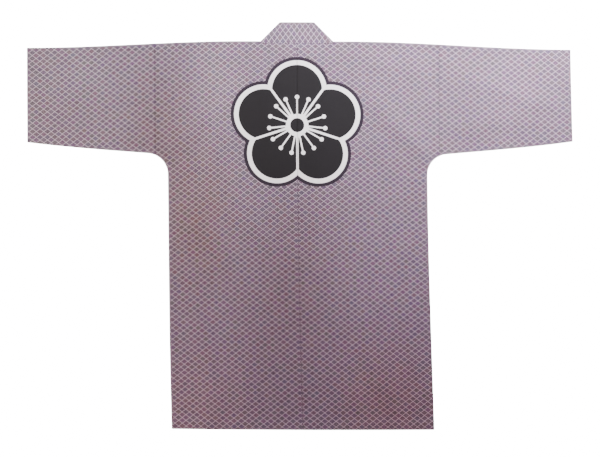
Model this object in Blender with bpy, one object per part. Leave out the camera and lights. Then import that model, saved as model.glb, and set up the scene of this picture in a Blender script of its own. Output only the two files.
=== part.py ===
"""A happi coat laid flat on a table, back up: two body lengths, two sleeves and a long collar band.

Metres, +Z up. The coat lies on z = 0 with its front underneath, +Y towards the neck.
Every panel is worked out in the coat's own measures, u across from the centre back and v down
from the shoulder line, and `laid` then puts it on the table. Each mesh is the cloth's outer face,
and a Solidify modifier gives it its wall, inwards.
"""

import bpy
import numpy as np

# Cut of the coat
LENGTH = 0.883
SLEEVE_SEAM = 0.323
SIDE = 0.2955
SIDE_FLARE = 0.0035
UNDERARM_RADIUS = 0.050
UNDERARM_CENTRE = (SIDE + UNDERARM_RADIUS, 0.299)
CUFF_ACROSS = {-1: 0.614, 1: 0.622}
CUFF_SLANT = {-1: 0.0, 1: 0.020}
CUFF_HEIGHT = {-1: 0.2156, 1: 0.2095}
COLLAR_WIDTH = 0.049
NECK_HALF = 0.088
NECK_BELOW = 0.0057
FRONT_SEAM_LOW = 0.0508
FRONT_CURVE_END = 0.300
FRONT_SHORTER = 0.004
FRONT_SHORTER_FROM = 0.800

# How it lies: the whole coat leans a little, its centre drifts to one side and its sleeves droop
MIDDLE = (-0.006, 0.4195)
LEAN = 0.0035
DRIFT = 0.014
HEM_BOW = 0.0015
DROOP = 0.017
DROOP_FROM = 0.120
DROOP_TO = 0.620
DROOP_FADES_FROM = 0.260

# Layers
WALL = 0.0012
HEM_WALL = 0.0018
BAND_WALL = 0.0022
BACK_TOP = 0.0028
HEM_TOP = 0.0040
NECK_TOP = 0.0043
OVER_BAND = 0.00265
OVER_BAND_MARGIN = 0.004
OVER_BAND_FADE = 0.022
NECK_FADE_DOWN = 0.045
NECK_FADE_ACROSS = 0.040
FOLD_RADIUS = 0.0018
HEM_FOLD_RADIUS = 0.0023
BAND_FOLD_RADIUS = 0.00245
BAND_SAG = 0.0006
BAND_TURN = 0.180
SEAM_GAP = 0.0003
HEM_DEPTH = 0.015
HEM_STEP = 0.0055
FOLD_STEPS = 4
FOLD_BLEND = 0.016

# Soft folds of the upper layer: from (u0, v0) to (u1, v1), and their half width and height
FOLDS = [
    # u0, v0, u1, v1, half_width, height
    (-0.290, 0.245, -0.150, 0.120, 0.034, 0.0030),
    (-0.250, 0.360, -0.120, 0.560, 0.040, 0.0026),
    (-0.230, 0.640, -0.190, 0.860, 0.042, 0.0024),
    (-0.085, 0.300, -0.100, 0.520, 0.036, 0.0016),
    (-0.560, 0.120, -0.390, 0.095, 0.034, 0.0026),
    (-0.460, 0.175, -0.330, 0.215, 0.030, 0.0020),
    (-0.130, 0.030, -0.300, 0.060, 0.030, 0.0018),
    (0.285, 0.250, 0.170, 0.130, 0.034, 0.0028),
    (0.235, 0.330, 0.150, 0.500, 0.040, 0.0024),
    (0.120, 0.560, 0.190, 0.800, 0.044, 0.0026),
    (0.255, 0.600, 0.245, 0.760, 0.030, 0.0014),
    (0.400, 0.080, 0.570, 0.130, 0.034, 0.0024),
    (0.350, 0.190, 0.480, 0.165, 0.030, 0.0018),
    (0.140, 0.030, 0.290, 0.075, 0.030, 0.0016),
    (0.055, 0.420, 0.040, 0.640, 0.034, 0.0014),
]

# Rows down the body, then the columns across each panel, the stations along a sleeve, the places
# down it and the sections of the band, as shares of the stretch that they divide
ROWS_ARMHOLE = [0.022, 0.050, 0.085, 0.120, 0.155, 0.190, 0.225]
ROWS_UNDERARM = [0.2585, 0.2650, 0.2750, 0.2990]
ROWS_BODY = np.linspace(0.333, 0.840, 15).tolist()
SHARES_NECK = [0.0, 0.33, 0.66]
SHARES_BODY = [0.0, 0.09, 0.22, 0.35, 0.48, 0.61, 0.74, 0.86, 0.95, 1.0]
SHARES_SLEEVE = [0.0, 0.028, 0.06, 0.13, 0.22, 0.31, 0.41, 0.51, 0.61, 0.71, 0.81, 0.89]
SHARES_RING = [0.0, 0.05, 0.14, 0.26, 0.38, 0.50, 0.62, 0.74, 0.86, 0.95, 1.0]
SHARES_BAND = [0.0, 0.5, 1.0]
SHARES_BACK_NECK = [0.85, 0.68, 0.50, 0.32, 0.15, 0.0]

CLOTH_COLOUR = (0.26, 0.20, 0.25, 1.0)
COLLAR_COLOUR = (0.36, 0.29, 0.36, 1.0)


def smooth(x):
    """0 below 0, 1 above 1, and 3x^2 - 2x^3 between."""
    x = np.clip(x, 0.0, 1.0)
    return x * x * (3.0 - 2.0 * x)


def laid(points):
    """(u, v, z) in the coat's measures to (x, y, z) on the table."""
    u, v, z = np.moveaxis(points, -1, 0)
    droop_fades = 1.0 - smooth((v - DROOP_FADES_FROM) / (LENGTH - DROOP_FADES_FROM))
    droop = DROOP * smooth((np.abs(u) - DROOP_FROM) / (DROOP_TO - DROOP_FROM)) * droop_fades
    down = np.clip(v / LENGTH, 0.0, None)
    bow = HEM_BOW * down**2 * (1.0 - np.clip(np.abs(u) / SIDE, 0.0, 1.0) ** 2)
    x = MIDDLE[0] + u + DRIFT * down**2
    y = MIDDLE[1] - v - droop - bow - LEAN * u
    return np.stack([x, y, z], axis=-1)


def front_seam(v):
    """Half width of the front opening at the collar seam: an S from the neck down to the straight front."""
    curve = smooth((v - NECK_BELOW) / (FRONT_CURVE_END - NECK_BELOW))
    return NECK_HALF + (FRONT_SEAM_LOW - NECK_HALF) * curve


def sleeve_line(side):
    """(slope, u of the touching point) of the sleeve's lower edge, from the cuff to the underarm curve."""
    across = CUFF_ACROSS[side] - UNDERARM_CENTRE[0]
    down = UNDERARM_CENTRE[1] - CUFF_HEIGHT[side]
    angle = np.arctan2(down, across) - np.arcsin(UNDERARM_RADIUS / np.hypot(across, down))
    return np.tan(angle), UNDERARM_CENTRE[0] - UNDERARM_RADIUS * np.sin(angle)


def sleeve_bottom(u, side):
    """v of the sleeve's lower edge: a straight line that runs into the underarm curve."""
    slope, touch = sleeve_line(side)
    line = CUFF_HEIGHT[side] + slope * (CUFF_ACROSS[side] - u)
    across = np.clip(UNDERARM_CENTRE[0] - u, 0.0, UNDERARM_RADIUS)
    curve = UNDERARM_CENTRE[1] - np.sqrt(UNDERARM_RADIUS**2 - across**2)
    return np.where(u > touch, line, curve)


def side_edge(v):
    """u of the side edge: the underarm curve, then nearly straight down."""
    down = np.clip(UNDERARM_CENTRE[1] - v, 0.0, UNDERARM_RADIUS)
    flare = SIDE_FLARE * smooth((v - UNDERARM_CENTRE[1]) / (LENGTH - UNDERARM_CENTRE[1]))
    return UNDERARM_CENTRE[0] + flare - np.sqrt(UNDERARM_RADIUS**2 - down**2)


def from_open_edge(u, v, side):
    """Distance from the hem or from the cuff, whichever is nearer."""
    return np.minimum(LENGTH - v, CUFF_ACROSS[side] - u)


def hem_share(u, v, side):
    """1 in the turned hem and cuff, fading to 0 above them."""
    return 1.0 - smooth((from_open_edge(u, v, side) - HEM_DEPTH) / HEM_DEPTH)


def fold_radius(u, v, side):
    return FOLD_RADIUS + (HEM_FOLD_RADIUS - FOLD_RADIUS) * hem_share(u, v, side)


def from_folded_edge(u, v, side):
    """Distance from the shoulder fold and from the folded side or sleeve edge, whichever is nearer."""
    slope, touch = sleeve_line(side)
    below = (sleeve_bottom(u, side) - v) / np.hypot(1.0, slope)
    round_arm = np.hypot(UNDERARM_CENTRE[0] - u, UNDERARM_CENTRE[1] - v) - UNDERARM_RADIUS
    edge = np.where(v > UNDERARM_CENTRE[1], side_edge(v) - u, np.where(u > touch, below, round_arm))
    return np.where(u < NECK_HALF, edge, np.minimum(edge, v))


def folds(u, v, side):
    """Height of this side's soft folds: each is a ridge that is highest in its middle."""
    height = np.zeros_like(u)
    for u0, v0, u1, v1, half_width, top in FOLDS:
        if u0 * side < 0.0:
            continue
        start = np.array([abs(u0), v0])
        run = np.array([abs(u1), v1]) - start
        along = ((u - start[0]) * run[0] + (v - start[1]) * run[1]) / (run @ run)
        off = np.abs((u - start[0]) * run[1] - (v - start[1]) * run[0]) / np.hypot(*run)
        fade = smooth(1.5 - 1.8 * np.abs(along - 0.5))
        height += top * fade * (1.0 - smooth(off / half_width))
    return height


def back_top(u, v, side):
    """Height of the upper layer's outer face."""
    hem = hem_share(u, v, side)
    wall = WALL + (HEM_WALL - WALL) * hem
    base = BACK_TOP + (HEM_TOP - BACK_TOP) * hem
    over_band = 1.0 - smooth((u - front_seam(v) - OVER_BAND_MARGIN) / OVER_BAND_FADE)
    base = base + np.maximum(OVER_BAND + wall - base, 0.0) * over_band
    below_neck = 1.0 - smooth((v - NECK_BELOW) / NECK_FADE_DOWN)
    beside_neck = 1.0 - smooth((u - NECK_HALF) / NECK_FADE_ACROSS)
    base = base + np.maximum(NECK_TOP - base, 0.0) * below_neck * beside_neck
    radius = fold_radius(u, v, side)
    inside = from_folded_edge(u, v, side) - radius
    at_edge = 1.0 - smooth(inside / FOLD_BLEND)
    raised = folds(u, v, side) * (1.0 - at_edge) * (1.0 - hem)
    return base + np.maximum(2.0 * radius - base, 0.0) * at_edge + raised


def arc(edge, outward, radius):
    """Points round a folded edge, from the upper layer to the lower, without the two ends.

    edge and outward are (n, 2) in (u, v), and the result is (n, FOLD_STEPS - 1, 3).
    """
    turn = np.linspace(0.5 * np.pi, -0.5 * np.pi, FOLD_STEPS + 1)[1:-1]
    reach = (np.cos(turn) - 1.0)[None, :] * radius[:, None]
    flat = edge[:, None, :] + outward[:, None, :] * reach[:, :, None]
    z = radius[:, None] * (1.0 + np.sin(turn))[None, :]
    return np.concatenate([flat, z[:, :, None]], axis=2)


class Surface:
    """The outer face of a piece, gathered as blocks of points and the quads between them."""

    def __init__(self):
        self.points = []
        self.faces = []
        self.count = 0

    def add(self, block):
        """Adds a block of (..., 3) points and gives their numbers in the same layout."""
        numbers = self.count + np.arange(block[..., 0].size).reshape(block.shape[:-1])
        self.points.append(block.reshape(-1, 3))
        self.count += numbers.size
        return numbers

    def quads(self, numbers):
        corners = [numbers[:-1, :-1], numbers[1:, :-1], numbers[1:, 1:], numbers[:-1, 1:]]
        self.faces.append(np.stack(corners, axis=-1).reshape(-1, 4))


def cloth_material(name, colour):
    material = bpy.data.materials.new(name)
    material.use_nodes = True
    shader = material.node_tree.nodes["Principled BSDF"]
    shader.inputs["Base Color"].default_value = colour
    shader.inputs["Roughness"].default_value = 0.9
    shader.inputs["Metallic"].default_value = 0.0
    return material


def make_piece(name, surface, side, pivot, thickness, colour, coat):
    """The named object with its outer face in place, mirrored for the left side, and its wall."""
    points = np.concatenate(surface.points) * [side, 1.0, 1.0]
    faces = np.concatenate(surface.faces)[:, ::side]
    start = laid(np.array([side * pivot[0], pivot[1], 0.0]))
    mesh = bpy.data.meshes.new(name)
    mesh.from_pydata((laid(points) - start).tolist(), [], faces.tolist())
    mesh.shade_smooth()
    mesh.materials.append(cloth_material(f"{name}_cloth", colour))
    piece = bpy.data.objects.new(name, mesh)
    piece.location = start
    piece.parent = coat
    bpy.context.collection.objects.link(piece)
    solid = piece.modifiers.new("wall", "SOLIDIFY")
    solid.thickness = thickness
    solid.offset = -1.0
    return piece


def thin_above_hem(piece, surface, side):
    """Gives the whole wall to the turned hem and cuff, and the single cloth to the rest."""
    u, v = np.concatenate(surface.points)[:, :2].T
    single = from_open_edge(u, v, side) > HEM_DEPTH + 0.9 * HEM_STEP
    group = piece.vertex_groups.new(name="wall")
    group.add(np.flatnonzero(single).tolist(), WALL / HEM_WALL, "REPLACE")
    group.add(np.flatnonzero(~single).tolist(), 1.0, "REPLACE")
    piece.modifiers["wall"].vertex_group = group.name


def with_z(u, v, z):
    return np.stack(np.broadcast_arrays(u, v, z), axis=-1)


def body_rows():
    """v of each row, and the number of the row at the underarm."""
    above = [FOLD_RADIUS, NECK_BELOW + SEAM_GAP] + ROWS_ARMHOLE
    seam_end = float(sleeve_bottom(np.array(SLEEVE_SEAM), 1))
    hem_rows = [LENGTH - HEM_DEPTH - HEM_STEP, LENGTH - HEM_DEPTH, LENGTH]
    return np.array(above + [seam_end] + ROWS_UNDERARM + ROWS_BODY + hem_rows), len(above)


def shorter(v):
    """How much further up the front lies than the back, growing to its whole amount above the hem."""
    end = LENGTH - HEM_DEPTH - HEM_STEP
    return FRONT_SHORTER * smooth((v - FRONT_SHORTER_FROM) / (end - FRONT_SHORTER_FROM))


def side_of_body(rows, underarm, side):
    """Where each row ends: the armhole or side edge, the way out of it, its radius and the panel's end."""
    number = np.arange(len(rows))
    u = np.where(number < underarm, SLEEVE_SEAM, side_edge(rows))
    u = u - np.where(number <= underarm, 0.5 * SEAM_GAP, 0.0)
    outward = np.stack([UNDERARM_CENTRE[0] - u, np.clip(UNDERARM_CENTRE[1] - rows, 0.0, None)], axis=-1)
    outward /= np.linalg.norm(outward, axis=1)[:, None]
    outward[underarm] = (0.0, 1.0)
    radius = fold_radius(u, rows, side)
    edge = np.stack([u, rows], axis=-1)
    panel_end = edge - np.where(number < underarm, 0.0, radius)[:, None] * outward
    return edge, outward, radius, panel_end


def shoulder_fold(top_u):
    """The arcs over the shoulder. The first follows the band's 45 degree fold, clear of its wall."""
    edge = np.stack([top_u, np.zeros_like(top_u)], axis=-1)
    over = arc(edge, np.tile([0.0, -1.0], (len(top_u), 1)), np.full(len(top_u), FOLD_RADIUS))
    inwards = WALL * (1.0 - over[0, :, 1] / FOLD_RADIUS)
    over[0, :, 0] = NECK_HALF - NECK_BELOW + np.sqrt(2.0) * SEAM_GAP + over[0, :, 1] + inwards
    return np.swapaxes(over, 0, 1)


def body(side, coat):
    """One length of cloth: back panel, shoulder fold, front panel and the closed side below the sleeve."""
    rows, underarm = body_rows()
    edge, outward, radius, panel_end = side_of_body(rows, underarm, side)

    corner = NECK_HALF - NECK_BELOW + np.minimum(rows, NECK_BELOW + SEAM_GAP) + np.sqrt(2.0) * SEAM_GAP
    share = np.array(SHARES_BODY)
    back_u = corner[:, None] + (panel_end[:, :1] - corner[:, None]) * share
    inner_u = 0.5 * SEAM_GAP + (corner[:, None] - 0.5 * SEAM_GAP) * np.array(SHARES_NECK)
    back_u = np.concatenate([inner_u, back_u], axis=1)
    back_v = np.repeat(rows[:, None], back_u.shape[1], axis=1)
    back_v[:, -1] = panel_end[:, 1]
    seam_u = np.where(rows < 2.0 * NECK_BELOW, corner, front_seam(rows) + SEAM_GAP)
    front_u = seam_u[:, None] + (panel_end[:, :1] - seam_u[:, None]) * share
    beside = len(SHARES_NECK)
    front_v = back_v[:, beside:] - shorter(back_v[:, beside:])

    surface = Surface()
    back = surface.add(with_z(back_u[1:], back_v[1:], back_top(back_u[1:], back_v[1:], side)))
    front = surface.add(with_z(front_u, front_v, 0.0))
    top = surface.add(with_z(back_u[0, beside:], back_v[0, beside:], 2.0 * FOLD_RADIUS))
    over = surface.add(shoulder_fold(back_u[0, beside:]))
    surface.quads(back)
    surface.quads(front[:, ::-1])
    surface.quads(np.stack([top, back[0, beside:]]))
    surface.quads(np.concatenate([front[:1], over[::-1], top[None]]))

    round_side = arc(edge[underarm:], outward[underarm:], radius[underarm:])
    gain = (back_v[underarm:, -1] - front_v[underarm:, -1])[:, None]
    round_side[:, :, 1] -= gain * np.arange(1, FOLD_STEPS) / FOLD_STEPS
    round_side = surface.add(round_side)
    surface.quads(np.concatenate([back[underarm - 1 :, -1:], round_side, front[underarm:, -1:]], axis=1))

    name = "body_right" if side > 0 else "body_left"
    piece = make_piece(name, surface, side, (NECK_HALF, 0.0), HEM_WALL, CLOTH_COLOUR, coat)
    thin_above_hem(piece, surface, side)


def sleeve(side, coat):
    """A flattened tube from the armhole seam to the cuff, folded at the top and joined underneath."""
    start = SLEEVE_SEAM + 0.5 * SEAM_GAP
    cuff = CUFF_ACROSS[side]
    stations = start + (cuff - start) * np.array(SHARES_SLEEVE)
    stations = np.append(stations, [cuff - HEM_DEPTH - HEM_STEP, cuff - HEM_DEPTH, cuff])

    slope, touch = sleeve_line(side)
    bottom = sleeve_bottom(stations, side)
    on_curve = np.stack([UNDERARM_CENTRE[0] - stations, UNDERARM_CENTRE[1] - bottom], axis=-1)
    on_line = np.tile([slope, 1.0], (len(stations), 1))
    outward = np.where((stations > touch)[:, None], on_line, on_curve)
    outward /= np.linalg.norm(outward, axis=1)[:, None]
    outward[[0, -1]] = (0.0, 1.0)
    radius = fold_radius(stations, bottom, side)
    edge = np.stack([stations, bottom], axis=-1)
    panel_end = edge - radius[:, None] * outward

    share = np.array(SHARES_RING)[:, None]
    v = radius + (panel_end[:, 1] - radius) * share
    u = stations + (panel_end[:, 0] - stations) * share**4
    top_edge = np.stack([stations, np.zeros_like(stations)], axis=-1)
    over = np.swapaxes(arc(top_edge, np.tile([0.0, -1.0], (len(stations), 1)), radius), 0, 1)
    under = np.swapaxes(arc(edge, outward, radius), 0, 1)
    ring = np.concatenate([with_z(u, v, back_top(u, v, side)), under, with_z(u, v, 0.0)[::-1], over[::-1]])
    slant = CUFF_SLANT[side] * smooth((stations - touch) / (cuff - touch))
    ring[:, :, 0] += slant * ring[:, :, 1]

    surface = Surface()
    numbers = surface.add(ring)
    surface.quads(np.concatenate([numbers, numbers[:1]]))
    name = "sleeve_right" if side > 0 else "sleeve_left"
    piece = make_piece(name, surface, side, (start, 0.0), HEM_WALL, CLOTH_COLOUR, coat)
    thin_above_hem(piece, surface, side)


def band_half():
    """Seam edge, free edge and height of the collar's outer face, from the hem to the centre back.

    The strip lies on the table under the back, folds over at 45 degrees beside the neck,
    and crosses the back of the neck on top. Its rows are the front panel's own, so the seam is even.
    """
    rows = body_rows()[0][:1:-1]
    rows = rows - shorter(rows)
    turn = 1.0 - np.clip((rows - NECK_BELOW) / BAND_TURN, 0.0, 1.0)
    seam = np.stack([front_seam(rows), rows], axis=-1)
    free = np.stack([seam[:, 0] - COLLAR_WIDTH, rows - turn * COLLAR_WIDTH], axis=-1)
    lines = [(seam, free, np.zeros(len(rows)))]

    corner = np.array([NECK_HALF, NECK_BELOW])
    tip = corner - COLLAR_WIDTH
    steps = np.linspace(-0.5 * np.pi, 0.5 * np.pi, 2 * FOLD_STEPS + 1)
    back = np.sqrt(2.0) * BAND_FOLD_RADIUS * (1.0 - np.cos(steps))
    upper = (np.arange(2 * FOLD_STEPS + 1) >= FOLD_STEPS)[:, None]
    moved = np.where(upper, np.outer(back, [-1.0, 0.0]), np.outer(back, [0.0, 1.0]))
    clear = np.where(upper, BAND_WALL * np.cos(steps)[:, None], 0.0)
    height = BAND_FOLD_RADIUS * (1.0 + np.sin(steps))
    lines.append((corner + moved - clear, tip + moved, height))

    share = np.array(SHARES_BACK_NECK)[:, None]
    back_seam = np.concatenate([corner[0] * share, np.full_like(share, NECK_BELOW)], axis=1)
    back_free = np.concatenate([tip[0] * share, np.full_like(share, tip[1])], axis=1)
    sag = BAND_SAG * (1.0 - share[:, 0] ** 2)
    lines.append((back_seam, back_free, 2.0 * BAND_FOLD_RADIUS - sag))
    return [np.concatenate(parts) for parts in zip(*lines)]


def collar(coat):
    """The whole band: one half, and its mirror image in the other order."""
    seam, free, height = band_half()
    share = np.array(SHARES_BAND)[:, None, None]
    flat = seam + (free - seam) * share
    half = with_z(flat[..., 0], flat[..., 1], height)
    other = half[:, -2::-1] * [-1.0, 1.0, 1.0]
    surface = Surface()
    surface.quads(surface.add(np.concatenate([half, other], axis=1)))
    make_piece("collar", surface, 1, (0.0, NECK_BELOW), BAND_WALL, COLLAR_COLOUR, coat)


def main():
    for old in list(bpy.data.objects):
        bpy.data.objects.remove(old, do_unlink=True)
    coat = bpy.data.objects.new("happi_coat", None)
    bpy.context.collection.objects.link(coat)
    for side in (-1, 1):
        body(side, coat)
        sleeve(side, coat)
    collar(coat)


main()
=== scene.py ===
"""A happi coat laid flat on its front, back up, seen straight from above.

Metres, +Z up. Every piece is worked out in the coat's own measures, u across from the centre back
and v down from the shoulder line, on the form of its solid, and `laid` puts it on the table.
Each shape is a function of two parameters on a grid, worked out as whole arrays.
"""

import bpy
import numpy as np
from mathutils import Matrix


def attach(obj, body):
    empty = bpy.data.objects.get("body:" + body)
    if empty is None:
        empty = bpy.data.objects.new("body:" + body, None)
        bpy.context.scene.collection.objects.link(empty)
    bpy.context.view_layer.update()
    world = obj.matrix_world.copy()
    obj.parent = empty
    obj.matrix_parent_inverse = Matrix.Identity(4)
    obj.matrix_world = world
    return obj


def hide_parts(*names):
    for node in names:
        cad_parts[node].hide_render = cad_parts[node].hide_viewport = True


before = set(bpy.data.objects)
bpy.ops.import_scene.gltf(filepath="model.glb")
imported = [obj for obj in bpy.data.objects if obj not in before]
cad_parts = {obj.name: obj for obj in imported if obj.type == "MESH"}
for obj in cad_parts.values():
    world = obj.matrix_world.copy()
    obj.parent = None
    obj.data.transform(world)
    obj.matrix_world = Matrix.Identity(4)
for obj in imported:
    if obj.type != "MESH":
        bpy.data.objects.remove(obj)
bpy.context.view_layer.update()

# Cut of the coat, the same as its solids'
LENGTH = 0.883
SLEEVE_SEAM = 0.323
SIDE = 0.2955
SIDE_FLARE = 0.0035
UNDERARM_RADIUS = 0.050
UNDERARM_CENTRE = (SIDE + UNDERARM_RADIUS, 0.299)
CUFF_ACROSS = {-1: 0.614, 1: 0.622}
CUFF_SLANT = {-1: 0.0, 1: 0.020}
SQUARE_END = 0.014
CUFF_HEIGHT = {-1: 0.2156, 1: 0.2095}
SIDES = {-1: "left", 1: "right"}
COLLAR_WIDTH = 0.049
NECK_HALF = 0.088
NECK_BELOW = 0.0057
FRONT_SEAM_LOW = 0.0508
FRONT_CURVE_END = 0.300
FRONT_SHORTER = 0.004
FRONT_SHORTER_FROM = 0.800
FRONT_SHORTER_ABOVE = 0.0055

# How it lies, the same as its solids
MIDDLE = (-0.006, 0.4195)
LEAN = 0.0035
DRIFT = 0.014
HEM_BOW = 0.0015
DROOP = 0.017
DROOP_FROM = 0.120
DROOP_TO = 0.620
DROOP_FADES_FROM = 0.260

# Layers, with the solids' wall under the outer face and the cloth's own thinner one
SOLID_WALL = 0.0012
SOLID_HEM_WALL = 0.0018
CLOTH = 0.0007
HEM_CLOTH = 0.0015
BAND_THICK = 0.0022
BACK_TOP = 0.0028
HEM_TOP = 0.0040
NECK_TOP = 0.0043
OVER_BAND = 0.00265
OVER_BAND_MARGIN = 0.004
OVER_BAND_FADE = 0.022
NECK_FADE_DOWN = 0.045
NECK_FADE_ACROSS = 0.040
FOLD_RADIUS = 0.0018
HEM_FOLD_RADIUS = 0.0023
BAND_FOLD_RADIUS = 0.00245
BAND_SAG = 0.0006
BAND_TURN = 0.180
SEAM_LAP = 0.0003
HEM_DEPTH = 0.015
FOLD_BLEND = 0.016
EDGE_ROUND = 0.0003
EDGE_ANGLE = 62.0
BAND_WAVE = 0.0003
BAND_WAVE_LENGTH = 0.013

# Sewing
SEAM_DITCH = 0.0008
SEAM_DITCH_WIDTH = 0.0013
SEAM_NOTCH = 0.0004
SEAM_ALLOWANCE = 0.009
ALLOWANCE_RISE = 0.0004
PUCKER = 0.00022
PUCKER_REACH = 0.012
PUCKER_WAVES = (0.017, 0.071, 0.113)
TURN_RISE = 0.0003
GROOVE = 0.0002
ARMHOLE_ENDS = 0.243
STITCH_LENGTH = 0.0026
STITCH_PITCH = 0.0040
STITCH_RADIUS = 0.00022
STITCH_INSET = 0.0020
STITCH_SLIP = 0.00025
STITCH_SUNK = 0.00004
STITCH_UNDER = 0.00008
STITCH_SIDES = 6
STITCH_RINGS = 5
LINE_POINTS = 60

# Large soft folds of the upper layer, the same as its solids': from (u0, v0) to (u1, v1), in millimetres
FOLDS = [
    # u0, v0, u1, v1, half_width, height
    (-290, 245, -150, 120, 34, 3),
    (-250, 360, -120, 560, 40, 2.6),
    (-230, 640, -190, 860, 42, 2.4),
    (-85, 300, -100, 520, 36, 1.6),
    (-560, 120, -390, 95, 34, 2.6),
    (-460, 175, -330, 215, 30, 2),
    (-130, 30, -300, 60, 30, 1.8),
    (285, 250, 170, 130, 34, 2.8),
    (235, 330, 150, 500, 40, 2.4),
    (120, 560, 190, 800, 44, 2.6),
    (255, 600, 245, 760, 30, 1.4),
    (400, 80, 570, 130, 34, 2.4),
    (350, 190, 480, 165, 30, 1.8),
    (140, 30, 290, 75, 30, 1.6),
    (55, 420, 40, 640, 34, 1.4),
]

# Small creases, in millimetres: troughs where the height is below zero. bend bows the line sideways.
CREASES = [
    # u0, v0, u1, v1, half_width, height, bend
    (-306, 262, -246, 196, 8, 0.8, 6),
    (-300, 276, -214, 222, 7, -0.6, 9),
    (-296, 300, -238, 268, 9, 0.7, 4),
    (-316, 232, -286, 150, 7, -0.5, 5),
    (-284, 352, -252, 470, 10, 0.6, -7),
    (-262, 510, -271, 622, 12, -0.5, 6),
    (-206, 402, -176, 544, 10, 0.5, 10),
    (-188, 610, -204, 728, 12, 0.5, -8),
    (-244, 700, -232, 846, 11, -0.6, 4),
    (-142, 712, -136, 838, 10, 0.6, -5),
    (-88, 556, -96, 664, 11, -0.5, 7),
    (-52, 688, -46, 822, 9, 0.5, -4),
    (-40, 372, -52, 486, 10, 0.4, 6),
    (-166, 52, -242, 84, 10, -0.5, 5),
    (-118, 22, -150, 104, 9, 0.5, -6),
    (-196, 132, -262, 176, 8, 0.4, 7),
    (-334, 62, -342, 150, 8, 0.6, 4),
    (-356, 196, -402, 150, 8, -0.5, 6),
    (-372, 48, -428, 104, 10, 0.5, -5),
    (-446, 60, -438, 150, 9, -0.5, 6),
    (-482, 134, -534, 182, 8, 0.6, 6),
    (-520, 44, -528, 118, 9, 0.5, -4),
    (-574, 84, -570, 168, 8, -0.5, 3),
    (304, 260, 250, 206, 8, 0.8, 5),
    (300, 282, 226, 236, 8, -0.6, 8),
    (294, 312, 232, 300, 9, 0.6, 4),
    (314, 222, 292, 136, 7, -0.5, -4),
    (276, 366, 256, 466, 11, 0.6, 7),
    (214, 388, 192, 520, 10, -0.5, -8),
    (232, 560, 222, 676, 11, 0.6, 7),
    (150, 620, 162, 742, 10, -0.6, -6),
    (270, 742, 264, 850, 10, 0.5, 4),
    (198, 762, 206, 856, 10, -0.5, 4),
    (104, 700, 112, 836, 11, 0.6, -6),
    (84, 468, 94, 584, 10, -0.4, 7),
    (36, 700, 28, 812, 9, -0.5, 4),
    (160, 44, 226, 92, 9, 0.5, 6),
    (112, 30, 132, 96, 9, -0.4, -4),
    (240, 110, 286, 160, 8, 0.4, 5),
    (336, 54, 346, 158, 8, 0.6, -5),
    (362, 206, 414, 176, 8, -0.5, 5),
    (388, 40, 436, 112, 9, -0.5, -6),
    (494, 58, 502, 164, 12, 0.9, 5),
    (530, 94, 536, 186, 9, -0.6, -4),
    (456, 130, 470, 190, 8, 0.5, 4),
    (574, 52, 580, 140, 9, 0.6, 4),
]

# Grids
STEP = 0.0046
EDGE_STEPS = np.array([0.0, 0.0005, 0.0011, 0.0019, 0.0030, 0.0045, 0.0066, 0.0094])
HEM_STEPS = np.array(
    [0.0, 0.0006, 0.0016, 0.0034, 0.0062, 0.0092, 0.0120, 0.0138, 0.0147, 0.0156, 0.0170, 0.0195]
)
NECK_ROWS = np.array([0.0018, 0.0026, 0.0036, 0.0048])
ARC_STEPS = 8
BAND_ROUND_STEPS = 5
UNDERARM_STEPS = 16
SLEEVE_DOWN = 0.235

# The print: diamonds of five short bars, alternately dark and violet, with pale cloth between
DIAMOND_WIDE = 0.0168
DIAMOND_HIGH = 0.0128
BARS = 5
BARS_START = 0.022
BAR_PITCH = (1.0 - 2.0 * BARS_START) / BARS
BAR_HALF = 0.325
BAR_REACH = 0.462
BAR_BLUR = 0.016
CHANNEL_FROM = (0.4545, 0.4725)
CELL_SPREAD = 0.20
HUE_BY_CHANCE = 0.45
PHASE_LEFT = 0.0052
INK_LEAST = 0.86
INK_GAIN = 0.22
GROUND = (0.61, 0.485, 0.545)
BETWEEN_BARS = (0.275, 0.208, 0.250)
DARK_BAR = (0.028, 0.016, 0.023)
VIOLET_BAR = (0.044, 0.023, 0.050)
# Painted shade along the seams: its factor at the armhole seams, its factor at the centre seam, and the width
# over which it fades out
SEAM_SHADE = 0.64
CENTRE_SHADE = 0.74
SEAM_SHADE_EDGE = (0.0005, 0.0018)

# The cloth's own unevenness, and painted shade that makes it darker and redder from the neck (y = 0.30) to the
# hem
TONE_LEAST = 0.73
STREAKS = 0.16
SLUBS = 0.08
UNEVEN_DYE = 0.30
SHADE_DOWN_FROM = 0.30
SHADE_DOWN_TO = -0.45
PAINTED_SHADE_AT_HEM = (0.98, 0.88, 0.95)
WHOLE = (1.0, 1.0, 1.0)
CLOTH_ROUGHNESS = 0.82
STREAK_ROUGHNESS = 0.14
YARN_PITCH = 0.0005
WEAVE_DEPTH = 0.00009
REVERSE_PALE = (0.42, 0.34, 0.40)
REVERSE_DEEP = (0.34, 0.27, 0.34)
THREAD_DARK = (0.20, 0.15, 0.20)
THREAD_LIGHT = (0.30, 0.23, 0.30)
THREAD_TWIST = 9000.0
TWIST_DEPTH = 0.00003

# Soft patches of painted shade and painted light, some darker and some lighter: middle, reach across and down,
# and a factor for each colour
PAINTED_LIGHT_AND_SHADE = [
    # x, y, reach_x, reach_y, tint
    (-0.318, 0.215, 0.080, 0.150, (0.85, 0.81, 0.74)),
    (-0.235, 0.020, 0.095, 0.180, (0.95, 0.87, 0.76)),
    (-0.012, -0.100, 0.125, 0.250, (0.82, 0.79, 0.75)),
    (-0.190, 0.325, 0.070, 0.130, (1.16, 1.18, 1.12)),
    (-0.500, 0.354, 0.095, 0.080, (1.10, 1.16, 1.14)),
    (-0.230, -0.420, 0.125, 0.150, (1.15, 1.09, 1.05)),
    (0.490, 0.290, 0.085, 0.100, (1.12, 1.09, 1.11)),
    (-0.010, 0.430, 0.090, 0.045, (1.10, 1.12, 1.14)),
    (0.205, -0.410, 0.130, 0.150, (1.07, 0.945, 0.86)),
]

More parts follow.
